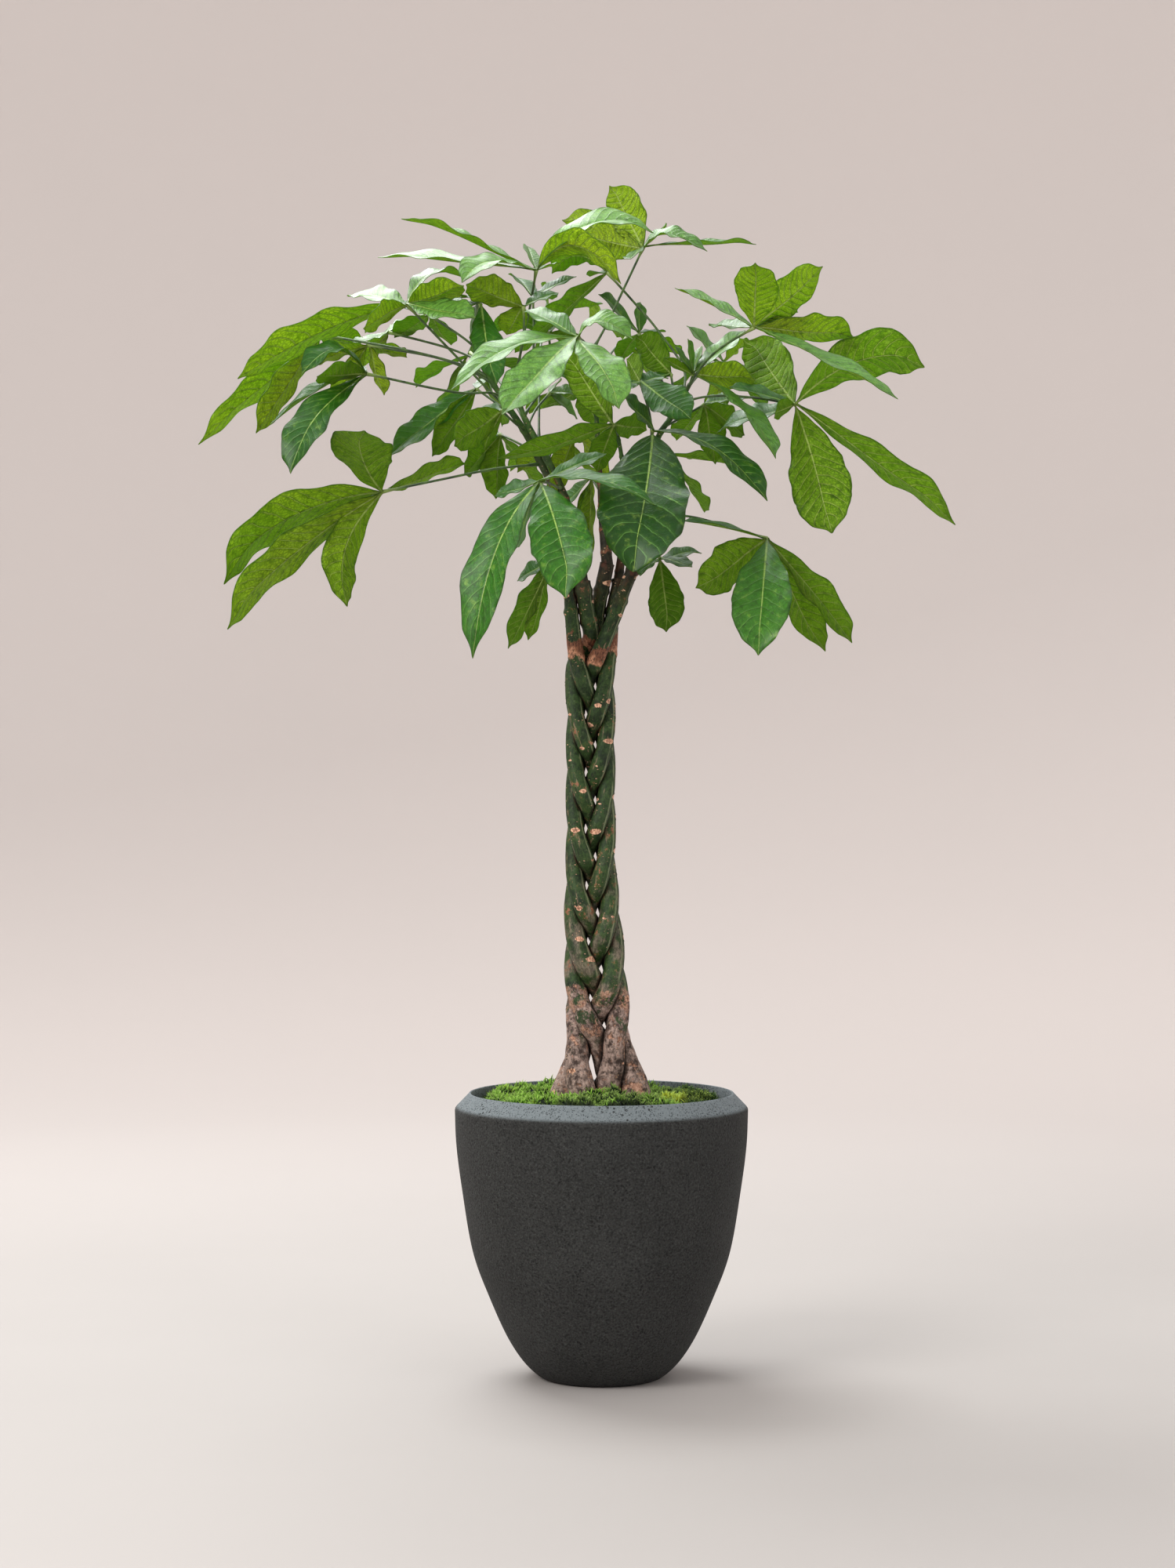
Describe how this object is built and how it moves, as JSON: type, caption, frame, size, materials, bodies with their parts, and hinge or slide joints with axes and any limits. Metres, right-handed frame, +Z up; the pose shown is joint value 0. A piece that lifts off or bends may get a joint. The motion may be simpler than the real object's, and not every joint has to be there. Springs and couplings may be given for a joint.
{
  "type": "potted money tree",
  "caption": "Braided-trunk money tree with hand-shaped leaves on long stalks, rooted in a tapered round planter topped with moss.",
  "frame": {"origin": "middle of the planter's underside, on the surface it stands on", "axes": "+Z up along the planter's axis, -Y to the front that the picture shows, +X to the right seen from the front"},
  "size_m": [1.0401, 0.8, 1.6763],
  "materials": {
    "planter": "matte",
    "soil": "matte",
    "moss": "matte",
    "bark": "matte",
    "leaf": "satin"
  },
  "bodies": {
    "root": {"planter": "planter", "potting_soil": "soil", "moss_cushion_1": "moss", "moss_cushion_2": "moss", "moss_cushion_3": "moss", "moss_cushion_4": "moss", "moss_cushion_5": "moss", "moss_cushion_6": "moss", "moss_cushion_7": "moss", "moss_cushion_8": "moss", "stem_left_front": "bark", "stem_left_back": "bark", "stem_right_front": "bark", "stem_right_back": "bark", "stem_middle_back": "bark", "leaf_01": "leaf", "leaf_02": "leaf", "leaf_03": "leaf", "leaf_04": "leaf", "leaf_05": "leaf", "leaf_06": "leaf", "leaf_07": "leaf", "leaf_08": "leaf", "leaf_09": "leaf", "leaf_10": "leaf", "leaf_11": "leaf", "leaf_12": "leaf", "leaf_13": "leaf", "leaf_14": "leaf", "leaf_15": "leaf", "leaf_16": "leaf", "leaf_17": "leaf", "leaf_18": "leaf", "leaf_19": "leaf", "leaf_20": "leaf", "leaf_21": "leaf", "leaf_22": "leaf", "leaf_23": "leaf", "leaf_24": "leaf", "leaf_25": "leaf", "leaf_26": "leaf", "leaf_27": "leaf", "leaf_28": "leaf", "leaf_29": "leaf", "leaf_30": "leaf", "leaf_31": "leaf", "leaf_32": "leaf", "leaf_33": "leaf", "leaf_34": "leaf", "leaf_35": "leaf", "leaf_36": "leaf", "leaf_37": "leaf", "leaf_38": "leaf", "leaf_39": "leaf", "leaf_40": "leaf", "leaf_41": "leaf", "leaf_42": "leaf"}
  },
  "joints": []
}
